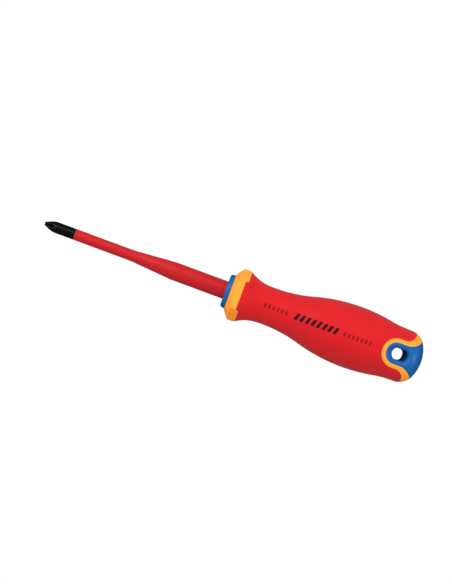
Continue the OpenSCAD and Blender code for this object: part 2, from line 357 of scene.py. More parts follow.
def edge_rows(ring, side, steps=4):
    """Rows from a seam's wall over its rounded edge, and the ring where the edge ends.
    The piece lies behind the seam (side 1) or in front of it (side -1)."""
    x, angle = ring
    base, normal = surface(x, angle), surface_normal(x, angle)
    away = side * unit(np.cross(normal, np.roll(base, -1, 0) - np.roll(base, 1, 0)))
    rows = []
    for turn in np.linspace(0, QUARTER, steps + 1):
        moved = base + away * SEAM_ROUND * (1 - math.cos(turn))
        step = np.arctan2(moved[:, 2], moved[:, 1]) - angle
        end = moved[:, 0], angle + (step + math.pi) % (2 * math.pi) - math.pi
        rows.append(surface(*end) - normal * SEAM_ROUND * (1 - math.sin(turn)))
    return rows, end


def skin_rows(start, end, places, inset=0.0):
    """Rows on the surface between two rings; places are shares of the way."""
    return [surface(start[0] + t * (end[0] - start[0]), start[1] + t * (end[1] - start[1]), inset)
            for t in places]


def turned_rows(points, angle):
    """Rings of a turned shape from points [x, radius]."""
    return [np.stack([np.full(len(angle), x), r * np.cos(angle), r * np.sin(angle)], axis=-1)
            for x, r in points]


# ---------------------------------------------------------------- meshes

def sheet_faces(rows, columns, close_rows=False, close_columns=True):
    """Quads of a grid of points, rows by columns."""
    i, j = np.meshgrid(np.arange(rows if close_rows else rows - 1),
                       np.arange(columns if close_columns else columns - 1), indexing="ij")
    here, below = i * columns, (i + 1) % rows * columns
    right = (j + 1) % columns
    return np.stack([here + j, here + right, below + right, below + j], axis=-1).reshape(-1, 4)


def finish_piece(obj, node):
    """Hands a finished piece to the frame, in place of its CAD node if it has one."""
    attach(obj, "root")
    if node:
        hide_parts(node)


def mark_edges(shell, soft=0.15, sharp=0.8):
    """Stores on each point how sharply the surface bends outwards there, for worn edges."""
    layer = shell.verts.layers.float.new("edge")
    for vert in shell.verts:
        bend = max((edge.calc_face_angle_signed(0) for edge in vert.link_edges), default=0)
        vert[layer] = min(max((bend - soft) / (sharp - soft), 0), 1)


def tidy_mesh(mesh, collapse=False):
    """Welds a mesh, turns its faces outwards, marks its edges and smooths it."""
    shell = bmesh.new()
    shell.from_mesh(mesh)
    bmesh.ops.remove_doubles(shell, verts=shell.verts, dist=WELD)
    if collapse:
        bmesh.ops.dissolve_degenerate(shell, edges=shell.edges, dist=WELD)
    bmesh.ops.recalc_face_normals(shell, faces=shell.faces)
    mark_edges(shell)
    shell.to_mesh(mesh)
    shell.free()
    mesh.shade_smooth()
    mesh.set_sharp_from_angle(angle=SHARP_ANGLE)


def piece(name, sheets, material):
    """One closed mesh from sheets of points, each (rows, columns, 3) with its faces."""
    points, faces, count = [], [], 0
    for grid, quads in sheets:
        points.append(grid.reshape(-1, 3))
        faces.append(quads + count)
        count += len(points[-1])
    mesh = bpy.data.meshes.new(name)
    mesh.from_pydata((np.vstack(points) * MM).tolist(), [], np.vstack(faces).tolist())
    tidy_mesh(mesh, collapse=True)
    mesh.materials.append(material)
    obj = bpy.data.objects.new(name, mesh)
    bpy.context.scene.collection.objects.link(obj)
    return obj


def tube(rows, closed=False):
    """A sheet that runs round the axis."""
    grid = np.array(rows)
    return grid, sheet_faces(len(rows), grid.shape[1], close_rows=closed)


# ---------------------------------------------------------------- node trees

def fill(tree, node, values):
    """Sets or links a node's inputs, by name or in order; None leaves one alone."""
    pairs = values.items() if isinstance(values, dict) else enumerate(values)
    for key, value in pairs:
        if isinstance(value, bpy.types.NodeSocket):
            tree.links.new(value, node.inputs[key])
        elif value is not None:
            node.inputs[key].default_value = value
    return node


def add(tree, kind, values=(), **settings):
    """A new node with these settings and inputs."""
    node = tree.nodes.new(kind)
    for key, value in settings.items():
        setattr(node, key, value)
    return fill(tree, node, values)


def maths(tree, operation, *values):
    """The result of a maths node."""
    return add(tree, "ShaderNodeMath", values, operation=operation).outputs[0]


def new_group(name, kind, inputs, outputs):
    """A node group with named sockets, as (tree, input sockets, output node)."""
    tree = bpy.data.node_groups.new(name, kind)
    for title, sort, value in inputs:
        socket = tree.interface.new_socket(title, in_out="INPUT", socket_type="NodeSocket" + sort)
        if value is not None:
            socket.default_value = value
    for title, sort in outputs:
        tree.interface.new_socket(title, in_out="OUTPUT", socket_type="NodeSocket" + sort)
    return tree, tree.nodes.new("NodeGroupInput").outputs, tree.nodes.new("NodeGroupOutput")


def grow(name, tree, values):
    """Runs a Geometry Nodes tree with these inputs and keeps the result as a tidy plain mesh."""
    obj = bpy.data.objects.new(name, bpy.data.meshes.new(name + "_start"))
    bpy.context.scene.collection.objects.link(obj)
    modifier = obj.modifiers.new("shape", "NODES")
    modifier.node_group = tree
    for socket in tree.interface.items_tree:
        if socket.in_out == "INPUT" and socket.name in values:
            modifier[socket.identifier] = values[socket.name]
    evaluated = obj.evaluated_get(bpy.context.evaluated_depsgraph_get())
    mesh = bpy.data.meshes.new_from_object(evaluated)
    obj.modifiers.clear()
    start, obj.data = obj.data, mesh
    bpy.data.meshes.remove(start)
    mesh.name = name
    tidy_mesh(mesh)
    return obj


# ---------------------------------------------------------------- finishes

def colour(code):
    """A colour from its six-digit code, as a shader takes it."""
    parts = [int(code[i:i + 2], 16) / 255 for i in (0, 2, 4)]
    return (*[c / 12.92 if c <= 0.04045 else ((c + 0.055) / 1.055) ** 2.4 for c in parts], 1.0)


def place_on(tree, size, turn=(0, 0, 0), stretch=(1, 1, 1)):
    """Object coordinates scaled so that a pattern's cell is about size millimetres."""
    where = add(tree, "ShaderNodeTexCoord").outputs["Object"]
    scale = [s / (size * MM) for s in stretch]
    return add(tree, "ShaderNodeMapping", {"Vector": where, "Rotation": turn, "Scale": scale}
               ).outputs[0]


def noise(tree, vector, detail=2.0, roughness=0.5):
    """A noise pattern between 0 and 1."""
    return add(tree, "ShaderNodeTexNoise", {"Vector": vector, "Scale": 1.0, "Detail": detail,
                                            "Roughness": roughness}).outputs["Fac"]


def remap(tree, value, low, high, to_low=0.0, to_high=1.0, smooth=False):
    """A value carried from one range to another and held within it."""
    return add(tree, "ShaderNodeMapRange",
               {"Value": value, "From Min": low, "From Max": high,
                "To Min": to_low, "To Max": to_high},
               interpolation_type="SMOOTHSTEP" if smooth else "LINEAR").outputs[0]


def mix_colour(tree, share, a, b):
    """Colour a, turned into b by a share."""
    return add(tree, "ShaderNodeMix", {0: share, 6: a, 7: b}, data_type="RGBA").outputs[2]


def moulded_skin_group():
    """Fine eroded mould texture: pits and specks on top of slow swells of the surface."""
    tree, inputs, out = new_group(
        "moulded_skin", "ShaderNodeTree",
        [("Pits", "Float", 0.5), ("Swell", "Float", 0.3)],
        [("Height", "Float"), ("Gloss", "Float"), ("Shade", "Float")])
    pits = add(tree, "ShaderNodeTexVoronoi", {"Vector": place_on(tree, 0.28), "Scale": 1.0,
                                              "Randomness": 1.0}, feature="SMOOTH_F1").outputs[0]
    specks = noise(tree, place_on(tree, 0.16), 3.0, 0.6)
    swell = noise(tree, place_on(tree, 7.0), 2.0)
    clouds = noise(tree, place_on(tree, 16.0), 4.0, 0.6)
    rough = maths(tree, "MULTIPLY", maths(tree, "ADD", pits, specks), inputs["Pits"])
    slow = maths(tree, "MULTIPLY", swell, inputs["Swell"])
    fill(tree, out, {
        "Height": maths(tree, "ADD", rough, slow),
        "Gloss": maths(tree, "ADD", remap(tree, clouds, 0.3, 0.7, -0.5, 0.5),
                       remap(tree, specks, 0.3, 0.7, -0.3, 0.3)),
        "Shade": maths(tree, "ADD", remap(tree, clouds, 0.3, 0.7, -0.5, 0.5),
                       remap(tree, pits, 0.0, 1.0, -0.35, 0.35)),
    })
    return tree


def handling_group():
    """Marks of use: polished patches where a hand rubs, thin scratches and worn edges."""
    tree, inputs, out = new_group(
        "handling", "ShaderNodeTree",
        [("Rub", "Float", 0.5), ("Scratches", "Float", 0.5), ("Edge Wear", "Float", 0.5)],
        [("Polish", "Float"), ("Scratch", "Float"), ("Worn", "Float")])
    edge = add(tree, "ShaderNodeAttribute", attribute_name="edge").outputs["Fac"]
    patchy = remap(tree, noise(tree, place_on(tree, 0.9), 4.0, 0.7), 0.35, 0.6)
    rub = noise(tree, place_on(tree, 11.0, stretch=(0.5, 1, 1)), 5.0, 0.65)
    lines = None
    for turn, size in ((0.35, 1.1), (-0.6, 1.7), (1.2, 2.3)):
        wave = noise(tree, place_on(tree, size, (turn, turn / 2, turn), (0.06, 5, 5)), 0.0)
        thin = remap(tree, maths(tree, "ABSOLUTE", maths(tree, "SUBTRACT", wave, 0.5)),
                     0.0, 0.006, 1.0, 0.0)
        broken = remap(tree, noise(tree, place_on(tree, 5 * size), 1.0), 0.56, 0.66)
        here = maths(tree, "MULTIPLY", thin, broken)
        lines = here if lines is None else maths(tree, "MAXIMUM", lines, here)
    fill(tree, out, {
        "Polish": maths(tree, "MULTIPLY", remap(tree, rub, 0.45, 0.7, smooth=True), inputs["Rub"]),
        "Scratch": maths(tree, "MULTIPLY", lines, inputs["Scratches"]),
        "Worn": maths(tree, "MULTIPLY", maths(tree, "MULTIPLY", edge, patchy), inputs["Edge Wear"]),
    })
    return tree


def surface_shader(name, groups, base, bare, roughness, bump, specular=0.5, sheen=0.0,
                   metallic=0.0, depth=0.05, shade=0.06, gloss=0.06, pits=0.5, swell=0.3,
                   rub=0.5, scratches=0.4, wear=0.4):
    """A moulded or oxidised surface: grain, slow swells, rubbed patches, scratches and edges
    worn to the bare colour. The relief's depth is in millimetres."""
    material = bpy.data.materials.new(name)
    material.use_nodes = True
    tree = material.node_tree
    shader = next(n for n in tree.nodes if n.type == "BSDF_PRINCIPLED")
    skin = add(tree, "ShaderNodeGroup", node_tree=groups["moulded_skin"])
    fill(tree, skin, {"Pits": pits, "Swell": swell})
    hand = add(tree, "ShaderNodeGroup", node_tree=groups["handling"])
    fill(tree, hand, {"Rub": rub, "Scratches": scratches, "Edge Wear": wear})
    tone = maths(tree, "ADD", maths(tree, "MULTIPLY", skin.outputs["Shade"], shade), 1.0)
    pale = maths(tree, "MULTIPLY_ADD", hand.outputs["Scratch"], 0.25, tone)
    tinted = add(tree, "ShaderNodeVectorMath", {0: base[:3], "Scale": pale}, operation="SCALE")
    rough = maths(tree, "MULTIPLY_ADD", skin.outputs["Gloss"], gloss, roughness)
    rough = maths(tree, "MULTIPLY_ADD", hand.outputs["Polish"], -0.12, rough)
    rough = maths(tree, "MULTIPLY_ADD", hand.outputs["Worn"], -0.1, rough)
    height = maths(tree, "MULTIPLY_ADD", hand.outputs["Scratch"], -0.4, skin.outputs["Height"])
    relief = add(tree, "ShaderNodeBump", {"Strength": bump, "Distance": depth * MM,
                                          "Height": height})
    fill(tree, shader, {
        "Base Color": mix_colour(tree, hand.outputs["Worn"], tinted.outputs[0], bare),
        "Roughness": rough,
        "Normal": relief.outputs[0],
        "Metallic": metallic,
        "Specular IOR Level": specular,
        "Sheen Weight": sheen,
    })
    return material


def finishes():
    """All the object's materials by name: base colour, colour of worn edges, roughness, relief."""
    groups = {"moulded_skin": moulded_skin_group(), "handling": handling_group()}
    looks = {
        "grip_rubber": ("BC151B", "C62A2C", 0.55, 0.6, {
            "specular": 0.08, "sheen": 0.06, "pits": 0.8, "depth": 0.1, "shade": 0.08}),
        "sleeve_plastic": ("AA151B", "B83034", 0.45, 0.3, {"specular": 0.1, "sheen": 0.04}),
        "core_plastic": ("065393", "2A6CA6", 0.37, 0.2, {"specular": 0.15, "pits": 0.3}),
        "middle_plastic": ("F3932F", "FFA94A", 0.4, 0.2, {
            "specular": 0.12, "pits": 0.3, "shade": 0.03}),
        "blackened_steel": ("050506", "57585B", 0.34, 0.5, {
            "specular": 0.06, "metallic": 0.2, "shade": 0.5, "gloss": 0.2, "wear": 0.7}),
        "bold_ink": ("2A0A0D", "6B0E13", 0.5, 0.3, {"specular": 0.06, "shade": 0.3}),
        "fine_ink": ("7E1117", "96141A", 0.5, 0.3, {"specular": 0.06, "shade": 0.3}),
    }
    return {name: surface_shader(name, groups, colour(base), colour(bare), rough, bump, **more)
            for name, (base, bare, rough, bump, more) in looks.items()}


# ---------------------------------------------------------------- pieces of the handle

def grip_piece(material, front, rear):
    """The soft grip: a sleeve between its front edge with the two tongues and the eye's trim."""
    front_edge, start = edge_rows(front, 1)
    rear_edge, end = edge_rows(rear, -1)
    places = np.concatenate([np.linspace(0, 0.16, 34), np.linspace(0.16, 1, 84)[1:]])[1:-1]
    rows = [*front_edge, *skin_rows(start, end, places), *rear_edge[::-1],
            *skin_rows(rear, front, HIDDEN_ROWS, GRIP_WALL)]
    return piece("grip_moulding", [tube(rows, closed=True)], material)


def middle_piece(material, front, trim_front, trim_rear):
    """The middle layer: bolster in front of the grip, thin under it, and the trim round the eye."""
    past_cone = 0.6         # the even rows of the cone go on this far behind it
    rim_width = 0.5         # of the front face, just inside its rounded rim
    ring = straight_ring(CONE_END_X + past_cone)
    hub = turned_rows([(BOLSTER_X, CORE_R), (BOLSTER_X, COLLAR_R),
                       (BOLSTER_X, CONE_FRONT_R - rim_width)], ring[1])
    cone = [surface(np.full(AROUND, x), ring[1])
            for x in BOLSTER_X + (ring[0][0] - BOLSTER_X) * np.linspace(0, 1, 26)[1:]]
    front_edge, bolster_end = edge_rows(front, -1)
    trim_edge, trim_start = edge_rows(trim_front, 1)
    core_edge, trim_end = edge_rows(trim_rear, -1)
    neck = straight_ring(RISE_C[0])
    rows = [
        *hub, *rounded_cone_rim(ring[1]), *cone,
        *skin_rows(ring, bolster_end, np.linspace(0, 1, 18)[1:-1]), *front_edge[::-1],
        *skin_rows(front, trim_front, HIDDEN_ROWS, GRIP_WALL),
        *trim_edge, *skin_rows(trim_start, trim_end, np.linspace(0, 1, 12)[1:-1]),
        *core_edge[::-1],
        *skin_rows(trim_rear, neck, HIDDEN_ROWS, CORE_INSET),
    ]
    return piece("middle_moulding", [tube(rows, closed=True)], material)


def rounded_cone_rim(angle, size=0.3, steps=4):
    """Rounded rim between the bolster's front face and its cone."""
    slope = math.atan2(BOLSTER_R - CONE_FRONT_R, CONE_END_X - BOLSTER_X)
    turns = np.linspace(0, QUARTER - slope, steps + 1)
    reach = size * math.tan((QUARTER - slope) / 2)
    centre = (BOLSTER_X + size, CONE_FRONT_R - reach)
    return turned_rows([(centre[0] - size * math.cos(t), centre[1] + size * math.sin(t))
                        for t in turns], angle)


def outside(points):
    """Positive outside the handle's rear end or inside the dish round the slot."""
    x, y, z = points[..., 0], points[..., 1], np.abs(points[..., 2])
    envelope = np.hypot(y, z) - turned_radius(x)
    nearest = np.clip(x, *DISH_X)
    dish = DISH_R - np.sqrt((x - nearest) ** 2 + y ** 2 + (z - DISH_Z - DISH_R) ** 2)
    return -smooth_min(-envelope, -dish, DISH_EDGE)


def slot_outline(angle, grown=0.0):
    """Points [x, y] of the slot's outline at angles about its middle, grown outwards."""
    c, s = np.cos(angle), np.sin(angle)
    half = np.array(SLOT_HALF) + grown
    corner = SLOT_CORNER + grown
    centre = half - corner
    ray = np.stack([np.abs(c), np.abs(s)], axis=-1)
    r = np.min(half / np.maximum(ray, 1e-9), axis=-1)
    along = ray @ centre
    square = np.maximum(along ** 2 - centre @ centre + corner ** 2, 0)
    on_corner = np.all(r[:, None] * ray > centre, axis=-1)
    r = np.where(on_corner, along + np.sqrt(square), r)
    return np.stack([SLOT_X + r * c, r * s], axis=-1)


def eye_top(rim):
    """Upper half of the core's eye as rows of points, from its outer rim to the slot's middle.
    The rim is the core's edge ring; it is closed by the handle's outline in the plane z = 0."""
    fine = 400              # points that the outline behind the rim is measured with
    behind = 97             # points on it that the rows start from, both its ends counted
    passes = 1500           # of evening out the rows
    seam = surface(*rim)[:AROUND // 2 + 1]
    back_y = np.linspace(-seam[0, 1], seam[0, 1], fine)
    back = bisect(lambda x: np.abs(back_y) - turned_radius(x),
                  np.full(fine, seam[0, 0] - 1), np.full(fine, END_X))
    curve = np.stack([back, back_y, np.zeros(fine)], axis=-1)
    length = np.concatenate([[0], np.cumsum(np.linalg.norm(np.diff(curve, axis=0), axis=1))])
    even = np.linspace(0, length[-1], behind)[1:-1]
    arc = np.stack([np.interp(even, length, curve[:, k]) for k in range(3)], axis=-1)
    loop = np.vstack([seam, arc])
    pivot = np.array([SLOT_X + 0.4, 0, 0])

    def chart(points):
        v = points - pivot
        tilt = np.arctan2(np.hypot(v[..., 0], v[..., 1]), v[..., 2])
        turn = np.arctan2(v[..., 1], v[..., 0])
        return np.stack([tilt * np.cos(turn), tilt * np.sin(turn)], axis=-1)

    def onto_surface(flat):
        tilt, turn = np.hypot(flat[..., 0], flat[..., 1]), np.arctan2(flat[..., 1], flat[..., 0])
        ray = np.stack([np.sin(tilt) * np.cos(turn), np.sin(tilt) * np.sin(turn), np.cos(tilt)],
                       axis=-1)
        far = bisect(lambda t: outside(pivot + t[..., None] * ray),
                     np.full(tilt.shape, 1.0), np.full(tilt.shape, 25.0))
        return pivot + far[..., None] * ray

    def on_top(plan):
        z = bisect(lambda h: outside(np.stack([plan[:, 0], plan[:, 1], h], axis=-1)),
                   np.full(len(plan), DISH_Z - 3), np.full(len(plan), DISH_Z + DISH_R - 0.5))
        return np.stack([plan[:, 0], plan[:, 1], z], axis=-1)

    # Angle about the slot that each point of the loop looks to.
    quarter = AROUND // 4
    front = np.interp(np.arange(quarter + 1) / quarter, [0, 0.42, 1], np.radians([30, 62, 180]))
    rear = np.radians(np.linspace(330, 390, behind)[1:-1])
    about = np.concatenate([front, 2 * math.pi - front[-2::-1], rear])
    inner = on_top(slot_outline(about, SLOT_ROUND))
    steps = np.linspace(0, 1, 34)[:, None, None]
    flat = chart(loop) * (1 - steps) + chart(inner) * steps
    for _ in range(passes):
        flat[1:-1] = (flat[2:] + flat[:-2] + np.roll(flat, 1, 1)[1:-1]
                      + np.roll(flat, -1, 1)[1:-1]) / 4
    rows = [loop, *onto_surface(flat[1:-1]), inner]
    for turn in np.linspace(0, QUARTER, 7)[1:]:
        out = SLOT_ROUND * (1 - math.sin(turn))
        row = on_top(slot_outline(about, out))
        row[:, 2] -= SLOT_ROUND * (1 - math.cos(turn))
        rows.append(row)
    rim_z = rows[-1][:, 2]
    for share in np.linspace(1, 0, 13)[1:]:
        wall = rows[-1].copy()
        wall[:, 2] = rim_z * share
        rows.append(wall)
    return np.array(rows)


def core_piece(material, rim):
    """The core: collar, trunk under the other layers, and the eye with its slot."""
    edge, rim_end = edge_rows(rim, 1)
    neck = straight_ring(RISE_C[0])
    round_c = (COLLAR_X + COLLAR_ROUND, COLLAR_R - COLLAR_ROUND)
    front = [(round_c[0] - COLLAR_ROUND * math.cos(t), round_c[1] + COLLAR_ROUND * math.sin(t))
             for t in np.linspace(0, QUARTER, 9)]
    collar_r = COLLAR_R + COLLAR_FLARE
    back = [(BOLSTER_X - SEAM_ROUND + SEAM_ROUND * math.sin(t),
             collar_r - SEAM_ROUND + SEAM_ROUND * math.cos(t)) for t in np.linspace(0, QUARTER, 5)]
    groove_r = SLEEVE_R + SLEEVE_GAP
    bore = [(TANG_X, 0), (TANG_X, SHANK_R), (SLEEVE_ROOT_X, SHANK_R), (SLEEVE_ROOT_X, ROOT_R),
            (COLLAR_X + groove_r - ROOT_R, ROOT_R), (COLLAR_X, groove_r)]
    trunk = [(BOLSTER_X, CORE_R), (neck[0][0], CORE_R)]
    rows = [*turned_rows([*bore, *front, *back, *trunk], neck[1]),
            *skin_rows(neck, rim, HIDDEN_ROWS[1:], CORE_INSET), *edge]
    top = eye_top(rim_end)
    faces = sheet_faces(*top.shape[:2])
    return piece("core_moulding", [tube(rows), (top, faces), (top * [1, 1, -1], faces)], material)


# ---------------------------------------------------------------- blade

def blade_radius(x):
    """Radius of the steel in front of the sleeve, before the flutes are ground."""
    depth = (BLADE_END_R - POINT_R) / math.tan(POINT_ANGLE)
    cone = POINT_R + (x - POINT_X) * math.tan(POINT_ANGLE)
    start = POINT_X + depth + POINT_BLEND * math.tan(POINT_ANGLE / 2)
    centre_r = BLADE_END_R - POINT_BLEND
    touch = start - POINT_BLEND * math.sin(POINT_ANGLE)
    arc = centre_r + np.sqrt(np.maximum(POINT_BLEND ** 2 - (x - start) ** 2, 0))
    return np.where(x < touch, cone, np.where(x < start, arc, BLADE_END_R))


def blade_section(x, per_side=12, per_land=10):
    """One section of the fluted end, with points kept on the edges of the wings and the ribs."""
    r = float(blade_radius(x))
    bottom = FLUTE_BOTTOM + FLUTE_WHEEL_R - math.sqrt(
        max(FLUTE_WHEEL_R ** 2 - (x - POINT_X) ** 2, 0))
    edge = QUARTER
    if bottom < r:
        y = (-bottom + math.sqrt(2 * r ** 2 - bottom ** 2)) / 2
        edge = math.atan2(bottom + y, y)
    edge = min(edge, math.radians(86))
    eighth = np.concatenate([np.linspace(QUARTER, edge, per_side + 1)[:-1],
                             np.linspace(edge, QUARTER / 2, per_land // 2 + 1)])
    reach = bottom / np.maximum(np.sin(eighth) - np.cos(eighth), 1e-6)
    if x < POINT_X + RIB_LEN:
        reach = np.maximum(reach, RIB_REACH / (np.sin(eighth) + np.cos(eighth)))
    reach = np.minimum(reach, r)
    half = np.stack([reach * np.cos(eighth), reach * np.sin(eighth)], axis=-1)
    quarter = np.vstack([half, half[-2:0:-1, ::-1]])
    turn = np.array([[0, -1], [1, 0]])
    ring = np.vstack([quarter @ np.linalg.matrix_power(turn, k) for k in range(4)])
    return np.column_stack([np.full(len(ring), x), ring])


def blade_piece(material):
    """The blackened blade: fluted point, working end, neck inside the sleeve and the tang."""
    flute_end = POINT_X + math.sqrt(FLUTE_WHEEL_R ** 2
                                    - (FLUTE_WHEEL_R + FLUTE_BOTTOM - BLADE_END_R) ** 2)
    tip_len, tip_share = TIP_BEVEL
    end_len, end_depth = END_BEVEL
    fluted = flute_end + FLUTE_RUN_OUT
    xs = np.concatenate([np.linspace(POINT_X + tip_len, fluted, 60),
                         np.linspace(fluted, SLEEVE_X - end_len, 24)[1:]])
    rows = [blade_section(x) for x in xs]
    tip = rows[0] * [0, tip_share, tip_share] + [POINT_X, 0, 0]
    middle = np.tile([POINT_X, 0, 0], (len(tip), 1)).astype(float)
    direction = unit(rows[-1][:, 1:])
    inner = [(SLEEVE_X, BLADE_END_R - end_depth), (SLEEVE_X, NECK_R),
             (-THICK_LEN - CONE_LEN, NECK_R), (-THICK_LEN - NECK_STEP, SHANK_R),
             (TANG_X - TANG_BEVEL, SHANK_R), (TANG_X, SHANK_R - TANG_BEVEL), (TANG_X, 0)]
    rows += [np.column_stack([np.full(len(direction), x), direction * r]) for x, r in inner]
    blade = piece("blade_steel", [tube([middle, tip, *rows])], material)
    for vert, edge in zip(blade.data.vertices, blade.data.attributes["edge"].data):
        x, y, z = vert.co / MM
        if math.hypot(y, z) < WORN_SHARE * float(blade_radius(x)):
            edge.value = 0.0
    return blade


def sleeve_tree():
    """Geometry Nodes tree of the turned sleeve: a slim front, a cone and a thick rear."""
    tree, inputs, out = new_group(
        "turned_sleeve", "GeometryNodeTree",
        [*[(title, "Float", 0.0) for title in (
            "Front", "Seat", "Root", "Root Radius", "Cone Start", "Cone End", "Slim Radius",
            "Thick Radius", "Blend", "Lip", "Neck Radius", "Shank Radius", "Shank Start")],
         ("Rows", "Int", 0), ("Columns", "Int", 0), ("Finish", "Material", None)],
        [("Geometry", "Geometry")])
    dense = 0.08            # row spacing at the lip, as a share of the even spacing

    def sheet(rows):
        grid = add(tree, "GeometryNodeMeshGrid", {"Size X": 1.0, "Size Y": 1.0, "Vertices X": rows,
                                                  "Vertices Y": inputs["Columns"]})
        where = add(tree, "GeometryNodeInputPosition").outputs[0]
        split = add(tree, "ShaderNodeSeparateXYZ", (where,)).outputs
        along = maths(tree, "ADD", split["X"], 0.5)
        angle = maths(tree, "MULTIPLY", maths(tree, "ADD", split["Y"], 0.5), 2 * math.pi)
        return grid.outputs["Mesh"], along, angle

    def wrapped(mesh, x, r, angle):
        place = add(tree, "ShaderNodeCombineXYZ", (
            x, maths(tree, "MULTIPLY", r, maths(tree, "COSINE", angle)),
            maths(tree, "MULTIPLY", r, maths(tree, "SINE", angle)))).outputs[0]
        return add(tree, "GeometryNodeSetPosition", {"Geometry": mesh, "Position": place}).outputs[0]

    mesh, along, angle = sheet(inputs["Rows"])
    cube = maths(tree, "POWER", along, 3.0)
    share = maths(tree, "ADD", maths(tree, "MULTIPLY", along, dense),
                  maths(tree, "MULTIPLY", cube, 1 - dense))
    length = maths(tree, "SUBTRACT", inputs["Seat"], inputs["Front"])
    from_front = maths(tree, "MULTIPLY", share, length)
    x = maths(tree, "ADD", inputs["Front"], from_front)
    cone = add(tree, "ShaderNodeMapRange", {
        "Value": x, "From Min": inputs["Cone Start"], "From Max": inputs["Cone End"],
        "To Min": inputs["Slim Radius"], "To Max": inputs["Thick Radius"]}, clamp=False).outputs[0]
    r = add(tree, "ShaderNodeMath", (cone, inputs["Slim Radius"], inputs["Blend"]),
            operation="SMOOTH_MAX").outputs[0]
    r = add(tree, "ShaderNodeMath", (r, inputs["Thick Radius"], inputs["Blend"]),
            operation="SMOOTH_MIN").outputs[0]
    lip = inputs["Lip"]
    short = maths(tree, "MAXIMUM", maths(tree, "SUBTRACT", lip, from_front), 0.0)
    drop = maths(tree, "SUBTRACT", lip, maths(tree, "SQRT", maths(
        tree, "SUBTRACT", maths(tree, "MULTIPLY", lip, lip), maths(tree, "MULTIPLY", short, short))))
    outer = wrapped(mesh, x, maths(tree, "SUBTRACT", r, drop), angle)

    mesh, along, angle = sheet(8)
    row = add(tree, "FunctionNodeFloatToInt", (maths(tree, "MULTIPLY", along, 7.0),)).outputs[0]
    lip_r = maths(tree, "SUBTRACT", inputs["Slim Radius"], lip)
    stations = {
        "x": [inputs["Front"], inputs["Front"], inputs["Cone Start"], inputs["Shank Start"],
              inputs["Root"], inputs["Root"], inputs["Seat"], inputs["Seat"]],
        "r": [lip_r, inputs["Neck Radius"], inputs["Neck Radius"], inputs["Shank Radius"],
              inputs["Shank Radius"], inputs["Root Radius"], inputs["Root Radius"],
              inputs["Thick Radius"]],
    }
    picked = {}
    for key, sockets in stations.items():
        switch = tree.nodes.new("GeometryNodeIndexSwitch")
        switch.data_type = "FLOAT"
        while len(switch.index_switch_items) < len(sockets):
            switch.index_switch_items.new()
        fill(tree, switch, [row, *sockets])
        picked[key] = switch.outputs[0]
    bore = wrapped(mesh, picked["x"], picked["r"], angle)

    both = add(tree, "GeometryNodeJoinGeometry")
    tree.links.new(outer, both.inputs[0])
    tree.links.new(bore, both.inputs[0])
    welded = add(tree, "GeometryNodeMergeByDistance", {"Geometry": both.outputs[0],
                                                       "Distance": WELD}).outputs[0]
    whole = add(tree, "GeometryNodeRealizeInstances", (welded,)).outputs[0]
    done = add(tree, "GeometryNodeSetMaterial", {"Geometry": whole, "Material": inputs["Finish"]})
    fill(tree, out, {"Geometry": done.outputs[0]})
    return tree


def sleeve_piece(material):
    """The insulating sleeve on the blade."""
    sizes = {
        "Front": SLEEVE_X, "Seat": COLLAR_X, "Root": SLEEVE_ROOT_X, "Root Radius": ROOT_R,
        "Cone Start": -THICK_LEN - CONE_LEN, "Cone End": -THICK_LEN,
        "Slim Radius": BLADE_END_R, "Thick Radius": SLEEVE_R,
        "Blend": SLEEVE_BLEND, "Lip": SLEEVE_LIP, "Neck Radius": NECK_R,
        "Shank Radius": SHANK_R, "Shank Start": -THICK_LEN - NECK_STEP,
    }
    values = {key: value * MM for key, value in sizes.items()}
    rows, columns = SLEEVE_GRID
    values.update({"Rows": rows, "Columns": columns, "Finish": material})
    return grow("blade_sleeve", sleeve_tree(), values)


# ---------------------------------------------------------------- printing on the grip

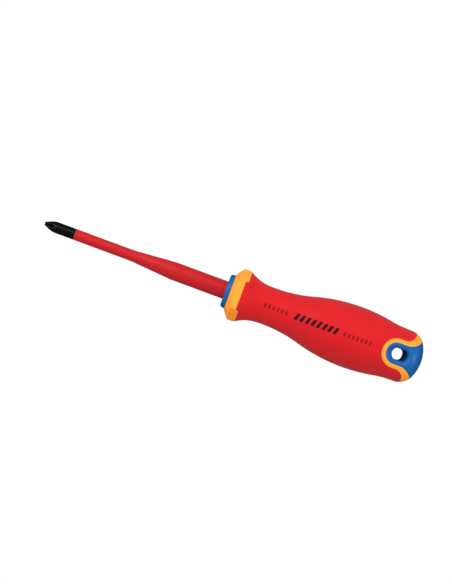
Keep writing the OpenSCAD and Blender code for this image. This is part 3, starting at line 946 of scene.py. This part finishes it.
def printed_row_tree():
    """Geometry Nodes tree of a row of equal printed marks that lie on the grip's surface."""
    tree, inputs, out = new_group(
        "printed_row", "GeometryNodeTree",
        [("Surface", "Object", None), ("Count", "Int", 3),
         *[(title, "Float", 0.0) for title in (
             "First", "Pitch", "Width", "Height", "Slant", "Ink")],
         ("Finish", "Material", None)],
        [("Geometry", "Geometry")])
    above = 0.1             # where the rays that find the surface start, in metres
    start = add(tree, "ShaderNodeCombineXYZ", (inputs["First"], 0.0, 0.0)).outputs[0]
    step = add(tree, "ShaderNodeCombineXYZ", (inputs["Pitch"], 0.0, 0.0)).outputs[0]
    line = add(tree, "GeometryNodeMeshLine", {"Count": inputs["Count"], "Start Location": start,
                                              "Offset": step}).outputs[0]
    size = add(tree, "ShaderNodeCombineXYZ", (inputs["Width"], inputs["Height"], inputs["Ink"]))
    bar = add(tree, "GeometryNodeMeshCube", {"Size": size.outputs[0], "Vertices X": 5,
                                             "Vertices Y": 9, "Vertices Z": 2}).outputs["Mesh"]
    where = add(tree, "GeometryNodeInputPosition").outputs[0]
    split = add(tree, "ShaderNodeSeparateXYZ", (where,)).outputs
    lean = add(tree, "ShaderNodeCombineXYZ", (
        maths(tree, "MULTIPLY", split["Y"], inputs["Slant"]), 0.0, 0.0)).outputs[0]
    leaning = add(tree, "GeometryNodeSetPosition", {"Geometry": bar, "Offset": lean}).outputs[0]
    marks = add(tree, "GeometryNodeInstanceOnPoints", {"Points": line, "Instance": leaning})
    whole = add(tree, "GeometryNodeRealizeInstances", (marks.outputs[0],)).outputs[0]
    target = add(tree, "GeometryNodeObjectInfo", {"Object": inputs["Surface"]},
                 transform_space="RELATIVE").outputs["Geometry"]
    high = add(tree, "ShaderNodeCombineXYZ", (split["X"], split["Y"], above)).outputs[0]
    ray = add(tree, "GeometryNodeRaycast", {"Target Geometry": target, "Source Position": high,
                                            "Ray Direction": (0, 0, -1), "Ray Length": 1.0})
    hit = add(tree, "ShaderNodeSeparateXYZ", (ray.outputs["Hit Position"],)).outputs["Z"]
    laid = add(tree, "ShaderNodeCombineXYZ", (
        split["X"], split["Y"], maths(tree, "ADD", hit, split["Z"]))).outputs[0]
    done = add(tree, "GeometryNodeSetPosition", {"Geometry": whole, "Position": laid}).outputs[0]
    painted = add(tree, "GeometryNodeSetMaterial", {"Geometry": done, "Material": inputs["Finish"]})
    fill(tree, out, {"Geometry": painted.outputs[0]})
    return tree


def printed_row(name, tree, grip, material, first, count, pitch, width, height, slant=0.0):
    """A row of equal marks along the top of the grip; first is the middle of the first one."""
    sizes = {"First": first, "Pitch": pitch, "Width": width, "Height": height, "Ink": INK}
    values = {key: value * MM for key, value in sizes.items()}
    values.update({"Surface": grip, "Count": count, "Slant": slant, "Finish": material})
    return grow(name, tree, values)


# ---------------------------------------------------------------- studio

def floor_piece():
    """A level pale floor well under the tool; from below it is clear, so the underside shows."""
    mesh = bpy.data.meshes.new("floor")
    half, height = FLOOR_HALF, -FLOOR_DROP * MM
    mesh.from_pydata([(-half, -half, height), (half, -half, height), (half, half, height),
                      (-half, half, height)], [], [(0, 1, 2, 3)])
    floor = bpy.data.objects.new("floor", mesh)
    bpy.context.scene.collection.objects.link(floor)
    material = bpy.data.materials.new("floor")
    material.use_nodes = True
    tree = material.node_tree
    tree.nodes.clear()
    ray = add(tree, "ShaderNodeLightPath").outputs
    bounce = remap(tree, ray["Is Glossy Ray"], 0, 1, FLOOR_BOUNCE, FLOOR_MIRRORED)
    lit = add(tree, "ShaderNodeBsdfDiffuse", {"Color": bounce}).outputs[0]
    glow = add(tree, "ShaderNodeEmission", {"Color": (1, 1, 1, 1),
                                            "Strength": BACKDROP}).outputs[0]
    clear = add(tree, "ShaderNodeBsdfTransparent").outputs[0]
    seen = add(tree, "ShaderNodeMixShader", (FLOOR_GLOW, lit, glow)).outputs[0]
    below = add(tree, "ShaderNodeNewGeometry").outputs["Backfacing"]
    top = add(tree, "ShaderNodeMixShader", (ray["Is Camera Ray"], lit, seen)).outputs[0]
    both = add(tree, "ShaderNodeMixShader", (below, top, clear)).outputs[0]
    add(tree, "ShaderNodeOutputMaterial", {"Surface": both})
    mesh.materials.append(material)


def softbox(name, place, target, size, power):
    """A soft rectangular lamp aimed at a point."""
    light = bpy.data.lights.new(name, "AREA")
    light.shape = "RECTANGLE"
    light.size, light.size_y = size
    light.energy = power
    lamp = bpy.data.objects.new(name, light)
    bpy.context.scene.collection.objects.link(lamp)
    lamp.location = place
    lamp.rotation_euler = (Vector(target) - Vector(place)).to_track_quat("-Z", "Y").to_euler()


def studio():
    """Broad soft light from the far side, a small lamp off the rear end, fill all round, and the
    camera straight above."""
    scene = bpy.context.scene
    scene.view_settings.view_transform = "Standard"
    world = bpy.data.worlds.new("studio")
    scene.world = world
    world.use_nodes = True
    tree = world.node_tree
    ray = add(tree, "ShaderNodeLightPath").outputs["Is Camera Ray"]
    fill(tree, tree.nodes["Background"],
         {"Color": (1, 1, 1, 1), "Strength": remap(tree, ray, 0, 1, FILL, BACKDROP)})
    for name, lamp in LAMPS.items():
        softbox(name, *lamp)
    camera = bpy.data.objects.new("camera", bpy.data.cameras.new("camera"))
    scene.collection.objects.link(camera)
    camera.data.lens = LENS
    camera.data.sensor_width = SENSOR
    camera.location = CAMERA_PLACE
    camera.rotation_euler = (0, 0, CAMERA_TURN)
    scene.camera = camera


# ---------------------------------------------------------------- build

def build():
    """Makes every piece and hands it to the frame."""
    finish = finishes()
    front = grip_front_ring()
    trim_front = eye_ring(TRIM_NOSE, TRIM_LOBE_X, TRIM_LOBE)
    trim_rear = eye_ring(CORE_NOSE, CORE_LOBE_X, CORE_LOBE)
    blade = blade_piece(finish["blackened_steel"])
    sleeve = sleeve_piece(finish["sleeve_plastic"])
    core = core_piece(finish["core_plastic"], trim_rear)
    middle = middle_piece(finish["middle_plastic"], front, trim_front, trim_rear)
    grip = grip_piece(finish["grip_rubber"], front, trim_front)
    row, bold, fine = printed_row_tree(), finish["bold_ink"], finish["fine_ink"]
    bars = printed_row("printed_bars", row, grip, bold, *BARS, *BAR)
    front_ticks = printed_row("front_ticks", row, grip, fine, *FRONT_TICKS, *TICK)
    rear_ticks = printed_row("rear_ticks", row, grip, fine, *REAR_TICKS, *TICK)
    for obj, node, slot in (
            (blade, "blade", "blackened_steel"),
            (sleeve, "blade_insulation", "sleeve_plastic"),
            (core, "handle_core", "core_plastic"),
            (middle, "middle_layer", "middle_plastic"),
            (grip, "grip", "grip_rubber"),
            (bars, None, "grip_rubber"),
            (front_ticks, None, "grip_rubber"),
            (rear_ticks, None, "grip_rubber")):
        finish_piece(obj, node)


build()
floor_piece()
studio()
